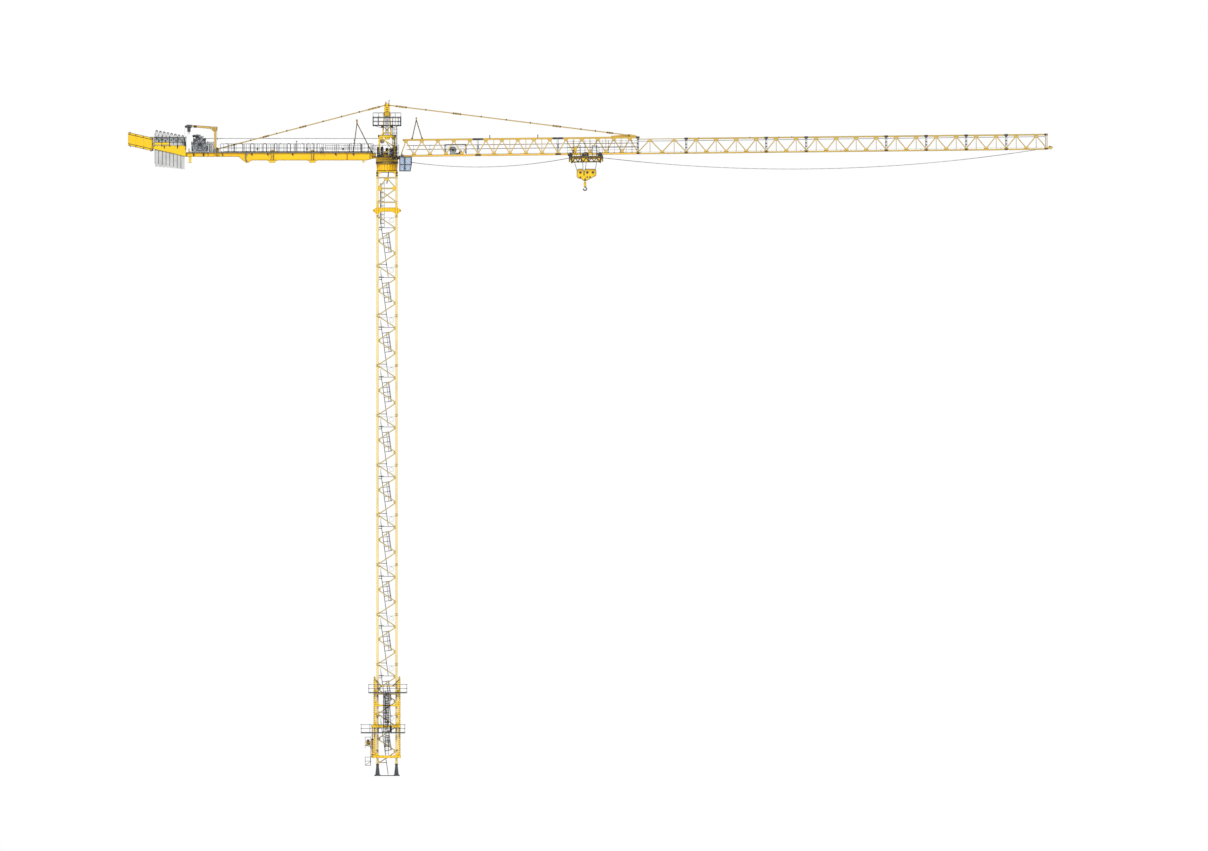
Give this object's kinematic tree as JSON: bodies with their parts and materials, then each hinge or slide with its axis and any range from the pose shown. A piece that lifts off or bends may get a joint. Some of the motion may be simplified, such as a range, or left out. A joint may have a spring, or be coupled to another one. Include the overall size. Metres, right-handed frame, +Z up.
{
  "type": "saddle jib tower crane scale model",
  "caption": "Saddle jib tower crane with lattice mast, climbing cage, cab, jib with trolley and hook, and counter jib with concrete ballast, as a scale model.",
  "frame": {"origin": "on the mast's axis, at the flat underside of the anchor feet", "axes": "+Z up the mast, +X along the jib towards its tip, +Y to the left of the jib, so the cab is on the -Y side"},
  "size_m": [11.5577, 0.5545, 8.4503],
  "materials": {
    "feet": "rough dark grey paint",
    "mast_yellow": "satin yellow paint, weathered",
    "cage_yellow": "satin yellow paint",
    "head_yellow": "satin yellow paint",
    "jib_yellow": "satin pale yellow paint, weathered",
    "tie_grey": "satin grey paint",
    "rail_grey": "galvanised, dull grey",
    "deck_grey": "galvanised grating",
    "machine_grey": "dark grey machine enamel",
    "cabinet_grey": "light grey enamel",
    "concrete": "cast concrete with fine pores",
    "cab_black": "satin black enamel",
    "cab_glass": "light blue tinted glass",
    "steel": "bare machined steel",
    "rope": "greased wire rope"
  },
  "bodies": {
    "tower": {"anchor_feet": "feet", "mast_lower": "mast_yellow", "mast_middle": "mast_yellow", "mast_upper": "mast_yellow", "transition_section": "cage_yellow", "head_mast": "cage_yellow", "ring_support": "head_yellow", "mast_ladders": "rail_grey"},
    "climbing_cage": {"cage_frame": "cage_yellow", "climbing_hydraulics": "machine_grey", "cage_middle_deck": "rail_grey", "cage_top_deck": "rail_grey", "cage_side_decks": "rail_grey"},
    "slewing_upper": {"turntable": "head_yellow", "slew_motors": "machine_grey", "turret_walkways": "rail_grey", "tower_head": "head_yellow", "head_deck": "rail_grey", "head_ladder": "rail_grey", "cab_frame": "cab_black", "cab_glass": "cab_glass", "jib_inner": "jib_yellow", "jib_middle": "jib_yellow", "jib_outer": "jib_yellow", "jib_end": "jib_yellow", "jib_walkway": "rail_grey", "trolley_winch": "machine_grey", "jib_tie": "tie_grey", "counter_jib_girders": "jib_yellow", "counter_jib_deck": "deck_grey", "counter_jib_rails": "rail_grey", "counter_jib_tie": "tie_grey", "ballast_frame": "jib_yellow", "counterweights": "concrete", "tail_panel": "head_yellow", "hoist_winch": "machine_grey", "control_cabinet": "cabinet_grey", "erection_gantries": "tie_grey", "guide_sheaves": "steel", "hoist_rope": "rope", "jib_ropes": "rope"},
    "trolley": {"trolley_frame": "head_yellow", "trolley_wheels": "steel"},
    "hook_block": {"hook_block": "head_yellow", "block_pulleys": "steel", "hoist_falls": "rope"},
    "hook": {"hook": "machine_grey"},
    "davit": {"davit": "rail_grey", "davit_hoist": "head_yellow"}
  },
  "joints": [
    {"name": "slew", "type": "hinge", "parent": "tower", "child": "slewing_upper", "pos_m": [0, 0, 7.7], "axis": [0, 0, 1], "continuous": true},
    {"name": "trolley_travel", "type": "slide", "parent": "slewing_upper", "child": "trolley", "axis": [0.9999, 0, 0.0112], "range_m": [-1.9, 5.5], "deforming": ["jib_ropes"]},
    {"name": "hoist", "type": "slide", "parent": "trolley", "child": "hook_block", "axis": [0, 0, 1], "range_m": [-7.15, 0], "deforming": ["hoist_falls"]},
    {"name": "hook_swivel", "type": "hinge", "parent": "hook_block", "child": "hook", "pos_m": [2.4748, 0, 7.4], "axis": [0, 0, 1], "continuous": true},
    {"name": "davit_slew", "type": "hinge", "parent": "slewing_upper", "child": "davit", "pos_m": [-2.147, -0.132, 8], "axis": [0, 0, 1], "range_deg": [-110, 110]},
    {"name": "cage_climb", "type": "slide", "parent": "tower", "child": "climbing_cage", "axis": [0, 0, 1], "range_m": [0, 5.78]}
  ]
}
